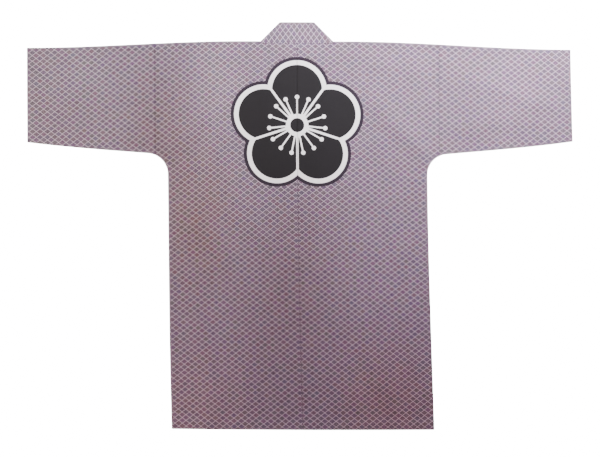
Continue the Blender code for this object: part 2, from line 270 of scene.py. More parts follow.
# The flower on the back
FLOWER_V = 0.192
PETALS = 5
PETAL_OUT = 0.080
PETAL_RADIUS = 0.057
WHITE_LINE = 0.0105
OUTER_LINE = 0.0075
HEART_RADIUS = 0.032
SLIT_HALF = 0.0027
RING_RADIUS = 0.0255
EYE_RADIUS = 0.0160
STAMENS = 15
STAMEN_HALF = 0.0018
STAMEN_REACH = 0.064
BEAD_RADIUS = 0.0049
DYE_EDGE = 0.0009
DYE_BLUR = 0.0004
FLOWER_BLACK = (0.0130, 0.0118, 0.0120)
FLOWER_WORN = (0.0200, 0.0180, 0.0182)
FLOWER_WHITE = (0.93, 0.92, 0.86)
FLOWER_EDGE = (0.025, 0.018, 0.025)

# Studio
FLOOR_HALF = 60.0
FLOOR_BELOW = 0.0006
FLOOR_GLOW = 17.0
LAMP_SIZE = 0.8
LAMPS = [
    # name, place, energy, colour
    ("soft_lamp", (0.58, 1.09, 0.80), 100.0, (0.90, 0.88, 1.0)),
    ("fill_lamp", (-1.66, -0.18, 0.70), 75.0, (1.0, 0.93, 0.80)),
]
SKY_COLOUR = (1.0, 0.60, 0.72, 1.0)
SKY_STRENGTH = 0.12
FRAME_WIDTH = 1.3645
FRAME_MIDDLE = (0.001, -0.0066)
SHARP_HEIGHT = 0.003
LENS = 90.0
SENSOR = 36.0


def smooth(x):
    """0 below 0, 1 above 1, and 3x^2 - 2x^3 between."""
    x = np.clip(x, 0.0, 1.0)
    return x * x * (3.0 - 2.0 * x)


def laid(points):
    """(u, v, z) in the coat's measures to (x, y, z) on the table: a lean, a drift and drooping sleeves."""
    u, v, z = np.moveaxis(points, -1, 0)
    droop_fades = 1.0 - smooth((v - DROOP_FADES_FROM) / (LENGTH - DROOP_FADES_FROM))
    droop = DROOP * smooth((np.abs(u) - DROOP_FROM) / (DROOP_TO - DROOP_FROM)) * droop_fades
    down = np.clip(v / LENGTH, 0.0, None)
    bow = HEM_BOW * down**2 * (1.0 - np.clip(np.abs(u) / SIDE, 0.0, 1.0) ** 2)
    x = MIDDLE[0] + u + DRIFT * down**2
    y = MIDDLE[1] - v - droop - bow - LEAN * u
    return np.stack([x, y, z], axis=-1)


def front_seam(v):
    """Half width of the front opening at the collar seam: an S from the neck down to the straight front."""
    curve = smooth((v - NECK_BELOW) / (FRONT_CURVE_END - NECK_BELOW))
    return NECK_HALF + (FRONT_SEAM_LOW - NECK_HALF) * curve


def sleeve_line(side):
    """(slope, u of the touching point) of the sleeve's lower edge, from the cuff to the underarm curve."""
    across = CUFF_ACROSS[side] - UNDERARM_CENTRE[0]
    down = UNDERARM_CENTRE[1] - CUFF_HEIGHT[side]
    angle = np.arctan2(down, across) - np.arcsin(UNDERARM_RADIUS / np.hypot(across, down))
    return np.tan(angle), UNDERARM_CENTRE[0] - UNDERARM_RADIUS * np.sin(angle)


def sleeve_bottom(u, side):
    """v of the sleeve's lower edge: a straight line that runs into the underarm curve."""
    slope, touch = sleeve_line(side)
    line = CUFF_HEIGHT[side] + slope * (CUFF_ACROSS[side] - u)
    across = np.clip(UNDERARM_CENTRE[0] - u, 0.0, UNDERARM_RADIUS)
    curve = UNDERARM_CENTRE[1] - np.sqrt(UNDERARM_RADIUS**2 - across**2)
    return np.where(u > touch, line, curve)


def side_edge(v):
    """u of the side edge: the underarm curve, then nearly straight down."""
    down = np.clip(UNDERARM_CENTRE[1] - v, 0.0, UNDERARM_RADIUS)
    flare = SIDE_FLARE * smooth((v - UNDERARM_CENTRE[1]) / (LENGTH - UNDERARM_CENTRE[1]))
    return UNDERARM_CENTRE[0] + flare - np.sqrt(UNDERARM_RADIUS**2 - down**2)


def from_open_edge(u, v, side):
    """Distance from the hem or from the cuff, whichever is nearer."""
    return np.minimum(LENGTH - v, CUFF_ACROSS[side] - u)


def hem_share(u, v, side):
    """1 in the turned hem and cuff, fading to 0 above them."""
    return 1.0 - smooth((from_open_edge(u, v, side) - HEM_DEPTH) / HEM_DEPTH)


def fold_radius(u, v, side):
    """Radius of a folded edge, larger in the turned hem and cuff."""
    return FOLD_RADIUS + (HEM_FOLD_RADIUS - FOLD_RADIUS) * hem_share(u, v, side)


def from_folded_edge(u, v, side):
    """Distance from the shoulder fold and from the folded side or sleeve edge, whichever is nearer."""
    slope, touch = sleeve_line(side)
    below = (sleeve_bottom(u, side) - v) / np.hypot(1.0, slope)
    round_arm = np.hypot(UNDERARM_CENTRE[0] - u, UNDERARM_CENTRE[1] - v) - UNDERARM_RADIUS
    edge = np.where(v > UNDERARM_CENTRE[1], side_edge(v) - u, np.where(u > touch, below, round_arm))
    return np.where(u < NECK_HALF, edge, np.minimum(edge, v))


def ridges(u, v, side, table):
    """Sum of ridges: each fades to its ends along its line, falls off smoothly beside it, and may bow."""
    height = np.zeros_like(u)
    for row in table:
        u0, v0, u1, v1, half_width, top, *bend = [0.001 * number for number in row]
        if u0 * side < 0.0:
            continue
        start = np.array([abs(u0), v0])
        run = np.array([abs(u1), v1]) - start
        along = ((u - start[0]) * run[0] + (v - start[1]) * run[1]) / (run @ run)
        off = ((u - start[0]) * run[1] - (v - start[1]) * run[0]) / np.hypot(*run)
        off = off - sum(bend) * (1.0 - (2.0 * along - 1.0) ** 2)
        fade = smooth(1.5 - 1.8 * np.abs(along - 0.5))
        height += top * fade * (1.0 - smooth(np.abs(off) / half_width))
    return height


def rumple(u, v, side):
    """Low unevenness of cloth that was folded and smoothed out: slow waves that cross at odd angles."""
    a = np.sin(61.0 * u + 23.0 * v + 1.3 * side) * np.sin(19.0 * u - 47.0 * v + 0.7)
    b = np.sin(118.0 * u - 39.0 * v + 2.1 * side) * np.sin(31.0 * u + 96.0 * v)
    c = np.sin(203.0 * u + 71.0 * v) * np.sin(57.0 * u - 187.0 * v + 1.9 * side)
    return 0.00022 * a + 0.00013 * b + 0.00006 * c


def puckers(distance, along):
    """Small waves along a seam, of uneven length, that die away from it."""
    short, middle, long = [2.0 * np.pi * along / wave for wave in PUCKER_WAVES]
    wave = np.sin(short + 2.3 * np.sin(middle))
    uneven = 0.6 + 0.4 * np.sin(long + 0.8)
    return PUCKER * wave * uneven * np.exp(-distance / PUCKER_REACH)


def seam(distance, along, welt):
    """A narrow ditch at the seam, puckers beside it, and a flat welt over the allowance where it lies."""
    distance = np.abs(distance)
    ditch = -SEAM_DITCH * np.exp(-((distance / SEAM_DITCH_WIDTH) ** 2))
    rise = welt * ALLOWANCE_RISE * (1.0 - smooth((distance - SEAM_ALLOWANCE) / 0.003))
    return ditch + rise + puckers(distance, along)


def sewn_relief(u, v, side):
    """What the sewing does to the upper layer: its seams and the inner edge and stitches of its turnings."""
    armhole_ends = 1.0 - smooth((v - ARMHOLE_ENDS) / 0.010)
    relief = seam(u - SLEEVE_SEAM, v, np.where(u < SLEEVE_SEAM, 1.0, 0.0)) * armhole_ends
    relief = relief + seam(u, v, 1.0 if side > 0 else 0.0)
    neck = seam(v - NECK_BELOW, u, 1.0) * (1.0 - smooth((u - NECK_HALF) / 0.004))
    edge = from_open_edge(u, v, side)
    turning = TURN_RISE * (1.0 - smooth((edge - HEM_DEPTH + 0.0008) / 0.0016))
    groove = -GROOVE * np.exp(-(((edge - HEM_DEPTH + STITCH_INSET) / 0.0010) ** 2))
    along = np.where(LENGTH - v < CUFF_ACROSS[side] - u, u, v)
    turned = puckers(np.abs(edge - HEM_DEPTH + STITCH_INSET), along + 0.01 * side) * smooth(edge / 0.006)
    return relief + neck + turning + groove + turned


def back_top(u, v, side):
    """Height of the upper layer's outer face: its solid's form, with creases, rumples and sewing added."""
    hem = hem_share(u, v, side)
    wall = SOLID_WALL + (SOLID_HEM_WALL - SOLID_WALL) * hem
    base = BACK_TOP + (HEM_TOP - BACK_TOP) * hem
    over_band = 1.0 - smooth((u - front_seam(v) - OVER_BAND_MARGIN) / OVER_BAND_FADE)
    base = base + np.maximum(OVER_BAND + wall - base, 0.0) * over_band
    below_neck = 1.0 - smooth((v - NECK_BELOW) / NECK_FADE_DOWN)
    beside_neck = 1.0 - smooth((u - NECK_HALF) / NECK_FADE_ACROSS)
    base = base + np.maximum(NECK_TOP - base, 0.0) * below_neck * beside_neck
    radius = fold_radius(u, v, side)
    inside = from_folded_edge(u, v, side) - radius
    at_edge = 1.0 - smooth(inside / FOLD_BLEND)
    raised = ridges(u, v, side, FOLDS) * (1.0 - at_edge) * (1.0 - hem)
    fine = (ridges(u, v, side, CREASES) + rumple(u, v, side)) * smooth(inside / 0.006) * (1.0 - 0.7 * hem)
    sewn = sewn_relief(u, v, side) * smooth((inside + 0.0005) / 0.003)
    return base + np.maximum(2.0 * radius - base, 0.0) * at_edge + raised + fine + sewn


def arc(edge, outward, radius, notch=0.0):
    """Points round a folded edge, from the upper layer to the lower, without the two ends.

    A half circle of the given radius that ends at the edge; notch draws its middle in, as a seam does.
    edge and outward are (n, 2) in (u, v), and the result is (n, ARC_STEPS - 1, 3).
    """
    turn = np.linspace(0.5 * np.pi, -0.5 * np.pi, ARC_STEPS + 1)[1:-1]
    drawn = notch * np.exp(-((turn / 0.22) ** 2))
    reach = (np.cos(turn) - 1.0)[None, :] * radius[:, None] - drawn[None, :]
    flat = edge[:, None, :] + outward[:, None, :] * reach[:, :, None]
    z = radius[:, None] * (1.0 + np.sin(turn))[None, :]
    return np.concatenate([flat, z[:, :, None]], axis=2)


def with_z(u, v, z):
    """Points from three arrays that fit together."""
    return np.stack(np.broadcast_arrays(u, v, z), axis=-1)


def graded(start, end, first_steps, last_steps, step=STEP):
    """Places from start to end, at about one step, closer together near both ends as the two lists say."""
    low = start + first_steps
    high = end - last_steps[::-1]
    count = max(int(round((high[0] - low[-1]) / step)), 1)
    return np.concatenate([low, np.linspace(low[-1], high[0], count + 1)[1:-1], high])


def grid_faces(numbers):
    """Quads between neighbouring numbers along the last two axes of a grid."""
    corners = [numbers[..., :-1, :-1], numbers[..., 1:, :-1], numbers[..., 1:, 1:], numbers[..., :-1, 1:]]
    return np.stack(corners, axis=-1).reshape(-1, 4)


class Surface:
    """The outer face of a piece: blocks of points, and quads that say on which side of the cloth they lie.

    Each point keeps its place in the uncut cloth twice, as part of the back and as part of the front,
    because the two meet in a seam at the side, and there the cloth's measures jump.
    """

    def __init__(self):
        self.points = []
        self.places = ([], [])
        self.faces = []
        self.fronts = []
        self.count = 0

    def add(self, block, on_cloth=None):
        """Adds a block of (..., 3) points and gives their numbers. on_cloth is for a fold that is no seam."""
        numbers = self.count + np.arange(block[..., 0].size).reshape(block.shape[:-1])
        self.points.append(block.reshape(-1, 3))
        for places, front in zip(self.places, (False, True)):
            place = cloth_place(block[..., 0], block[..., 1], front) if on_cloth is None else on_cloth
            places.append(place.reshape(-1, 2))
        self.count += numbers.size
        return numbers

    def quads(self, numbers, front=False):
        """Faces between neighbouring numbers of a grid. front may be an array with one value a face."""
        self.faces.append(grid_faces(numbers))
        cells = (numbers.shape[0] - 1, numbers.shape[1] - 1)
        self.fronts.append(np.broadcast_to(front, cells).reshape(-1))


def make_mesh(name, points, faces, materials, cloth_uv=None):
    """A mesh object at the origin. cloth_uv has a place in metres of cloth for every corner of the faces."""
    mesh = bpy.data.meshes.new(name)
    mesh.from_pydata(points.tolist(), [], faces)
    if cloth_uv is not None:
        mesh.uv_layers.new(name="cloth").uv.foreach_set("vector", cloth_uv.astype(np.float32).ravel())
    mesh.shade_smooth()
    for material in materials:
        mesh.materials.append(material)
    piece = bpy.data.objects.new(name, mesh)
    bpy.context.collection.objects.link(piece)
    return piece


def make_shell(part, surface, side, materials):
    """The piece as a shell: its outer face, mirrored for the left side, and a wall inwards.

    The wall is the single cloth, and the turned hem's thickness along the open edges.
    """
    points = np.concatenate(surface.points)
    thick = from_open_edge(points[:, 0], points[:, 1], side) < HEM_DEPTH + 0.0002
    points = points * [side, 1.0, 1.0]
    faces = np.concatenate(surface.faces)[:, ::side]
    fronts = np.concatenate(surface.fronts)[:, None, None]
    on_back, on_front = [np.concatenate(places) for places in surface.places]
    cloth_uv = np.where(fronts, on_front[faces], on_back[faces]) * [side, 1.0]
    piece = make_mesh(f"{part}_{SIDES[side]}_cloth", laid(points), faces.tolist(), materials, cloth_uv)

    group = piece.vertex_groups.new(name="wall")
    group.add(np.flatnonzero(~thick).tolist(), CLOTH / HEM_CLOTH, "REPLACE")
    group.add(np.flatnonzero(thick).tolist(), 1.0, "REPLACE")
    wall = piece.modifiers.new("wall", "SOLIDIFY")
    wall.thickness = HEM_CLOTH
    wall.offset = -1.0
    wall.vertex_group = group.name
    wall.material_offset = 1
    soft = piece.modifiers.new("soft_edges", "BEVEL")
    soft.width = EDGE_ROUND
    soft.segments = 2
    soft.limit_method = "ANGLE"
    soft.angle_limit = np.radians(EDGE_ANGLE)
    return piece


def cloth_place(u, v, front):
    """Place in the uncut length of cloth: the back runs down from the shoulder, the front up from it."""
    run = v + FOLD_RADIUS * (0.5 * np.pi - 1.0)
    return np.stack(np.broadcast_arrays(u, np.where(front, -run, run)), axis=-1)


def cloth_round_fold(block, radius):
    """Places on the cloth over a folded shoulder: the angle round the fold times its radius."""
    turn = np.linspace(0.5 * np.pi, -0.5 * np.pi, ARC_STEPS + 1)[1:-1]
    return np.stack([block[..., 0], np.broadcast_to((radius * turn)[:, None], block.shape[:-1])], axis=-1)


def body_rows():
    """v of each row below the shoulder's own rows, and the number of the row at the underarm."""
    seam_end = float(sleeve_bottom(np.array(SLEEVE_SEAM), 1))
    armhole = graded(NECK_BELOW - SEAM_LAP, seam_end - 0.0032, EDGE_STEPS, np.array([0.0, 0.0022]))
    angle = np.arcsin((UNDERARM_CENTRE[1] - seam_end) / UNDERARM_RADIUS)
    curve = UNDERARM_CENTRE[1] - UNDERARM_RADIUS * np.sin(np.linspace(angle, 0.0, UNDERARM_STEPS))
    lower = graded(curve[-1], LENGTH, np.array([0.0]), HEM_STEPS)[1:]
    return np.concatenate([NECK_ROWS, armhole, curve, lower]), len(NECK_ROWS) + len(armhole)


def shorter(v):
    """How much further up the front lies than the back, growing to its whole amount above the hem."""
    end = LENGTH - HEM_DEPTH - FRONT_SHORTER_ABOVE
    return FRONT_SHORTER * smooth((v - FRONT_SHORTER_FROM) / (end - FRONT_SHORTER_FROM))


def side_of_body(rows, underarm, side):
    """Where each row ends: the armhole or side edge, the way out of it, its radius and the panel's end."""
    number = np.arange(len(rows))
    u = np.where(number < underarm, SLEEVE_SEAM, side_edge(rows))
    u = u + np.where(number <= underarm, SEAM_LAP, 0.0)
    outward = np.stack([UNDERARM_CENTRE[0] - u, np.clip(UNDERARM_CENTRE[1] - rows, 0.0, None)], axis=-1)
    outward /= np.linalg.norm(outward, axis=1)[:, None]
    outward[underarm] = (0.0, 1.0)
    radius = fold_radius(u, rows, side)
    edge = np.stack([u, rows], axis=-1)
    panel_end = edge - np.where(number < underarm, 0.0, radius)[:, None] * outward
    return edge, outward, radius, panel_end


def body(side, materials):
    """One length of cloth: back panel, shoulder fold, front panel and the closed side below the sleeve.

    The back is a grid of rows down and shares across, at the height that back_top gives; the front is
    the same grid from the collar seam outwards, at height 0; half circles join them at shoulder and side.
    """
    rows, underarm = body_rows()
    edge, outward, radius, panel_end = side_of_body(rows, underarm, side)
    across = graded(0.0, SLEEVE_SEAM - NECK_HALF, EDGE_STEPS[::2], EDGE_STEPS)
    share = across / across[-1]
    neck_share = graded(0.0, NECK_HALF, EDGE_STEPS, EDGE_STEPS[:1])[:-1] / NECK_HALF

    corner = NECK_HALF - NECK_BELOW + np.minimum(rows, NECK_BELOW - SEAM_LAP)
    outer_u = corner[:, None] + (panel_end[:, :1] - corner[:, None]) * share
    inner_u = (corner[:, None] + SEAM_LAP) * neck_share - SEAM_LAP
    back_u = np.concatenate([inner_u, outer_u], axis=1)
    beside, first = len(neck_share), len(NECK_ROWS)
    back_v = np.repeat(rows[:, None], back_u.shape[1], axis=1)
    back_v[:, beside:] -= (rows - panel_end[:, 1])[:, None] * share**8
    seam_u = np.where(rows < 2.0 * NECK_BELOW, corner, front_seam(rows) - SEAM_LAP)
    front_u = seam_u[:, None] + (panel_end[:, :1] - seam_u[:, None]) * share
    front_v = back_v[:, beside:] - shorter(back_v[:, beside:])

    shoulder = 2.0 * FOLD_RADIUS
    rise = smooth((back_v - FOLD_RADIUS) / (NECK_BELOW - SEAM_LAP - FOLD_RADIUS))
    height = shoulder + (back_top(back_u, back_v, side) - shoulder) * rise
    back = with_z(back_u, back_v, height)

    surface = Surface()
    top = surface.add(back[:first, beside:])
    lower = surface.add(back[first:])
    front = surface.add(with_z(front_u, front_v, 0.0))
    surface.quads(np.concatenate([top, lower[:1, beside:]]))
    surface.quads(lower)
    surface.quads(front[:, ::-1], front=True)

    fold_edge = np.stack([outer_u[0], np.zeros_like(outer_u[0])], axis=-1)
    over = arc(fold_edge, np.tile([0.0, -1.0], (len(fold_edge), 1)), np.full(len(fold_edge), FOLD_RADIUS))
    over = np.swapaxes(over, 0, 1)
    inwards = SOLID_WALL * (1.0 - over[:, 0, 1] / FOLD_RADIUS)
    over[:, 0, 0] = NECK_HALF - NECK_BELOW + over[:, 0, 1] + inwards
    over_numbers = surface.add(over, cloth_round_fold(over, FOLD_RADIUS))
    surface.quads(np.concatenate([front[:1], over_numbers[::-1], top[:1]]))

    round_side = arc(edge[underarm:], outward[underarm:], radius[underarm:], notch=SEAM_NOTCH)
    gain = (back_v[underarm:, -1] - front_v[underarm:, -1])[:, None]
    round_side[:, :, 1] -= gain * np.arange(1, ARC_STEPS) / ARC_STEPS
    numbers = surface.add(round_side)
    joined = np.concatenate([lower[underarm - first :, -1:], numbers, front[underarm:, -1:]], axis=1)
    surface.quads(joined, front=np.arange(ARC_STEPS) >= ARC_STEPS // 2)

    return make_shell("body", surface, side, materials)


def sleeve(side, materials):
    """A flattened tube from the armhole seam to the cuff, folded at the top and joined underneath.

    Rings of back, lower half circle, front and upper half circle, at stations along the sleeve.
    """
    start = SLEEVE_SEAM - SEAM_LAP
    cuff = CUFF_ACROSS[side]
    stations = graded(start, cuff, EDGE_STEPS, HEM_STEPS)
    slope, touch = sleeve_line(side)
    bottom = sleeve_bottom(stations, side)
    on_curve = np.stack([UNDERARM_CENTRE[0] - stations, UNDERARM_CENTRE[1] - bottom], axis=-1)
    on_line = np.tile([slope, 1.0], (len(stations), 1))
    outward = np.where((stations > touch)[:, None], on_line, on_curve)
    outward[:, 0] *= smooth((stations - start) / SQUARE_END) * smooth((cuff - stations) / SQUARE_END)
    outward /= np.linalg.norm(outward, axis=1)[:, None]
    radius = fold_radius(stations, bottom, side)
    edge = np.stack([stations, bottom], axis=-1)
    panel_end = edge - radius[:, None] * outward

    down = graded(0.0, SLEEVE_DOWN, EDGE_STEPS[::2], EDGE_STEPS[::2])
    share = (down / down[-1])[:, None]
    v = radius + (panel_end[:, 1] - radius) * share
    u = stations + (panel_end[:, 0] - stations) * share**4
    top_edge = np.stack([stations, np.zeros_like(stations)], axis=-1)
    over = np.swapaxes(arc(top_edge, np.tile([0.0, -1.0], (len(stations), 1)), radius), 0, 1)
    under = np.swapaxes(arc(edge, outward, radius, notch=SEAM_NOTCH), 0, 1)
    upper = with_z(u, v, back_top(u, v, side))
    lower = with_z(u, v, 0.0)[::-1]
    slant = CUFF_SLANT[side] * smooth((stations - touch) / (cuff - touch))

    for block in (upper, under, lower, over):
        block[..., 0] += slant * block[..., 1]

    surface = Surface()
    ring = np.concatenate([surface.add(upper), surface.add(under), surface.add(lower)])
    seam_row = len(upper) - 1 + ARC_STEPS // 2
    surface.quads(ring[: seam_row + 1])
    surface.quads(ring[seam_row:], front=True)
    fold = surface.add(over, cloth_round_fold(over, FOLD_RADIUS))[::-1]
    surface.quads(np.concatenate([ring[-1:], fold, ring[:1]]), front=(np.arange(len(fold) + 1) < 1)[:, None])
    return make_shell("sleeve", surface, side, materials)


def band_half():
    """Seam edge, free edge, height and outward direction of the collar's outer face, from hem to centre back.

    The strip lies on the table under the back, turns over at 45 degrees beside the neck,
    and crosses the back of the neck on top.
    """
    rows = body_rows()[0][: len(NECK_ROWS) - 1 : -1]
    rows = rows - shorter(rows)
    turn = 1.0 - np.clip((rows - NECK_BELOW) / BAND_TURN, 0.0, 1.0)
    edge = np.stack([front_seam(rows), rows], axis=-1)
    free = np.stack([edge[:, 0] - COLLAR_WIDTH, rows - turn * COLLAR_WIDTH], axis=-1)
    lines = [(edge, free, np.zeros(len(rows)), np.tile([0.0, 0.0, -1.0], (len(rows), 1)))]

    corner = np.array([NECK_HALF, NECK_BELOW])
    tip = corner - COLLAR_WIDTH
    steps = np.linspace(-0.5 * np.pi, 0.5 * np.pi, 17)
    back = np.sqrt(2.0) * BAND_FOLD_RADIUS * (1.0 - np.cos(steps))
    upper = (np.arange(len(steps)) >= len(steps) // 2)[:, None]
    moved = np.where(upper, np.outer(back, [-1.0, 0.0]), np.outer(back, [0.0, 1.0]))
    clear = np.where(upper, BAND_THICK * np.cos(steps)[:, None], 0.0)
    height = BAND_FOLD_RADIUS * (1.0 + np.sin(steps))
    out = np.stack([np.cos(steps) * np.sqrt(0.5), -np.cos(steps) * np.sqrt(0.5), np.sin(steps)], axis=-1)
    lines.append((corner + moved - clear, tip + moved, height, out))

    share = np.linspace(1.0, 0.0, 24)[1:, None]
    back_seam = (corner + moved[-1]) * np.concatenate([share, np.ones_like(share)], axis=1)
    back_free = (tip + moved[-1]) * np.concatenate([share, np.ones_like(share)], axis=1)
    sag = BAND_SAG * (1.0 - share[:, 0] ** 2)
    upwards = np.tile([0.0, 0.0, 1.0], (len(share), 1))
    lines.append((back_seam, back_free, 2.0 * BAND_FOLD_RADIUS - sag, upwards))
    return [np.concatenate(parts) for parts in zip(*lines)]


def collar(material):
    """The whole band: a flat profile with round edges, carried along its strip and closed at both ends.

    The profile goes across the outer face, round the free edge, back across the inner face and round
    the seam edge. One half of the strip is followed by its mirror image in the other order.
    """
    edge, free, height, out = band_half()
    half_thick = 0.5 * BAND_THICK
    turn = np.linspace(0.0, np.pi, BAND_ROUND_STEPS + 1)[1:-1]
    inner = graded(half_thick, COLLAR_WIDTH - half_thick, EDGE_STEPS[:4], EDGE_STEPS[:4])
    far = COLLAR_WIDTH - half_thick + half_thick * np.sin(turn)
    near = half_thick - half_thick * np.sin(turn)
    place = np.concatenate([inner, far, inner[::-1], near]) / COLLAR_WIDTH
    bows = half_thick * np.cos(turn)
    offset = np.concatenate([np.full(len(inner), half_thick), bows, np.full(len(inner), -half_thick), -bows])

    middle = with_z(edge[:, 0], edge[:, 1], height) - half_thick * out
    across = np.concatenate([free - edge, np.zeros((len(edge), 1))], axis=1)
    half = middle + across * place[:, None, None] + out * offset[:, None, None]
    run = band_run(half, out, place)
    on_top = smooth(2.0 * out[:, 2] - 1.0) * smooth((NECK_HALF - edge[:, 0]) / 0.012)
    soft = BAND_WAVE * np.sin(edge[:, 0] / BAND_WAVE_LENGTH) * np.sin(np.pi * place)[:, None] * on_top
    half[..., 2] += soft
    other = half[:, -2::-1] * [-1.0, 1.0, 1.0]
    points = np.concatenate([half, other], axis=1)

    along = np.concatenate([run, -run[:, -2::-1]], axis=1)
    numbers = np.arange(points[..., 0].size).reshape(points.shape[:-1])
    faces = grid_faces(np.concatenate([numbers, numbers[:1]]))
    flat_across = np.broadcast_to((-COLLAR_WIDTH * place)[:, None], points.shape[:-1])
    cloth = np.stack([flat_across, along], axis=-1).reshape(-1, 2)
    points, triangles = end_caps(points, numbers)
    middles = [cloth[numbers[:, 0]].mean(axis=0), cloth[numbers[:, -1]].mean(axis=0)]
    cloth = np.concatenate([cloth, middles])
    cloth_uv = cloth[np.concatenate([faces.ravel(), triangles.ravel()])]
    every_face = faces.tolist() + triangles.tolist()
    return make_mesh("collar_cloth", laid(points), every_face, [material], cloth_uv)


def band_run(half, out, place):
    """How far along the strip's own cloth each point lies from the centre back.

    On top it is the distance across the neck. Underneath it is the way down from the neck, which the
    fold at 45 degrees turns a quarter. Round the fold it grows with the angle.
    """
    angle = np.arctan2(out[:, 2], np.hypot(out[:, 0], out[:, 1]))
    top, under = angle > 0.5 * np.pi - 0.001, angle < 0.001 - 0.5 * np.pi
    reach = np.sqrt(2.0) * BAND_FOLD_RADIUS
    slack = reach * (0.5 * np.pi - 1.0)
    fold = NECK_HALF - COLLAR_WIDTH * place[:, None] - reach * angle + slack
    below = NECK_HALF + half[..., 1] - NECK_BELOW + 2.0 * slack
    return np.where(top, half[..., 0], np.where(under, below, fold))


def end_caps(points, numbers):
    """The two ends of the band as fans of triangles round a middle point."""
    flat = points.reshape(-1, 3)
    middles = np.stack([points[:, 0].mean(axis=0), points[:, -1].mean(axis=0)])
    first, last = numbers[:, 0], numbers[:, -1]
    start = np.stack([np.full(len(first), len(flat)), np.roll(first, -1), first], axis=-1)
    end = np.stack([np.full(len(last), len(flat) + 1), last, np.roll(last, -1)], axis=-1)
    return np.concatenate([flat, middles]), np.concatenate([start, end])


class Nodes:
    """Short ways to add nodes to one material. A value may be a number, a tuple or another node's output."""

    def __init__(self, name):
        self.material = bpy.data.materials.new(name)
        self.material.use_nodes = True
        self.tree = self.material.node_tree
        self.shader = self.tree.nodes["Principled BSDF"]

    def feed(self, socket, value):
        """Links another node's output to the socket, or sets its own value."""
        if isinstance(value, bpy.types.NodeSocket):
            self.tree.links.new(value, socket)
        else:
            socket.default_value = value

    def finish(self, values):
        """Feeds the material's own shader, socket by socket."""
        for name, value in values.items():
            self.feed(self.shader.inputs[name], value)
        return self.material

    def node(self, kind, inputs=(), output=0, **settings):
        """A new node with its settings and (socket, value) inputs. Gives one of its outputs."""
        node = self.tree.nodes.new("ShaderNode" + kind)
        for name, value in settings.items():
            setattr(node, name, value)
        for socket, value in inputs:
            self.feed(node.inputs[socket], value)
        return node.outputs[output]

    def math(self, operation, *values):
        return self.node("Math", enumerate(values), operation=operation)

    def plus(self, first, second):
        return self.math("ADD", first, second)

    def minus(self, first, second):
        return self.math("SUBTRACT", first, second)

    def times(self, first, second):
        return self.math("MULTIPLY", first, second)

    def vectors(self, operation, *values):
        """The same for vectors and colours. A linked number counts as three equal ones."""
        return self.node("VectorMath", enumerate(values), operation=operation)

    def dyed_and_shaded(self, colour, share):
        """The colour with each of its three numbers multiplied: for the cloth's own tone, and also for painted
        shade and painted light.
        """
        return self.vectors("MULTIPLY", colour, share)

    def distance(self, across, down):
        """Root of the sum of the two squares."""
        squares = [self.times(value, value) for value in (across, down)]
        return self.math("SQRT", self.plus(*squares))

    def folded(self, value, repeat):
        """The value's distance from the nearest whole number of repeats, with its sign."""
        moved = self.math("FLOORED_MODULO", self.plus(value, 0.5 * repeat), repeat)
        return self.minus(moved, 0.5 * repeat)

    def fade(self, value, start, end):
        """0 up to start and 1 from end, smoothly between. start may be the larger one."""
        low, high, first = (start, end, 0.0) if start < end else (end, start, 1.0)
        sockets = ("Value", "From Min", "From Max", "To Min", "To Max")
        inputs = zip(sockets, (value, low, high, first, 1.0 - first))
        return self.node("MapRange", inputs, interpolation_type="SMOOTHSTEP")

    def mix(self, share, first, second):
        """Colour from first, where share is 0, to second, where it is 1."""
        colours = [value + (1.0,) if isinstance(value, tuple) else value for value in (first, second)]
        return self.node("Mix", zip((0, 6, 7), (share, *colours)), 2, data_type="RGBA")

    def mix_numbers(self, share, first, second):
        """The same for plain numbers."""
        return self.node("Mix", zip((0, 2, 3), (share, first, second)))

    def stretched(self, vector, scale):
        """The place with each of its numbers scaled by its own amount."""
        return self.node("Mapping", (("Vector", vector), ("Scale", scale)))

    def noise(self, vector, scale, detail=2.0, roughness=0.5):
        """Uneven values between 0 and 1 that change smoothly over the cloth."""
        sockets = ("Vector", "Scale", "Detail", "Roughness")
        return self.node("TexNoise", zip(sockets, (vector, scale, detail, roughness)), "Fac")

    def chance(self, first, second):
        """Three numbers from 0 to 1 that are the same all over a cell and differ from cell to cell."""
        cell = self.node("CombineXYZ", enumerate((first, second)))
        return self.node("TexWhiteNoise", [("Vector", cell)], "Color", noise_dimensions="2D")

    def cloth_vector(self):
        """Place in metres of cloth, from the piece's UV map."""
        return self.node("UVMap", uv_map="cloth")

    def place_vector(self):
        """Place on the laid coat, in metres."""
        return self.node("TexCoord", output="Object")

    def parts(self, vector):
        """The first two numbers of a vector or colour."""
        return list(self.node("SeparateXYZ", [(0, vector)]).node.outputs)[:2]

    def bump(self, height, depth):
        """The shader's normal for a surface that rises by depth where height is 1."""
        return self.node("Bump", (("Distance", depth), ("Height", height)))


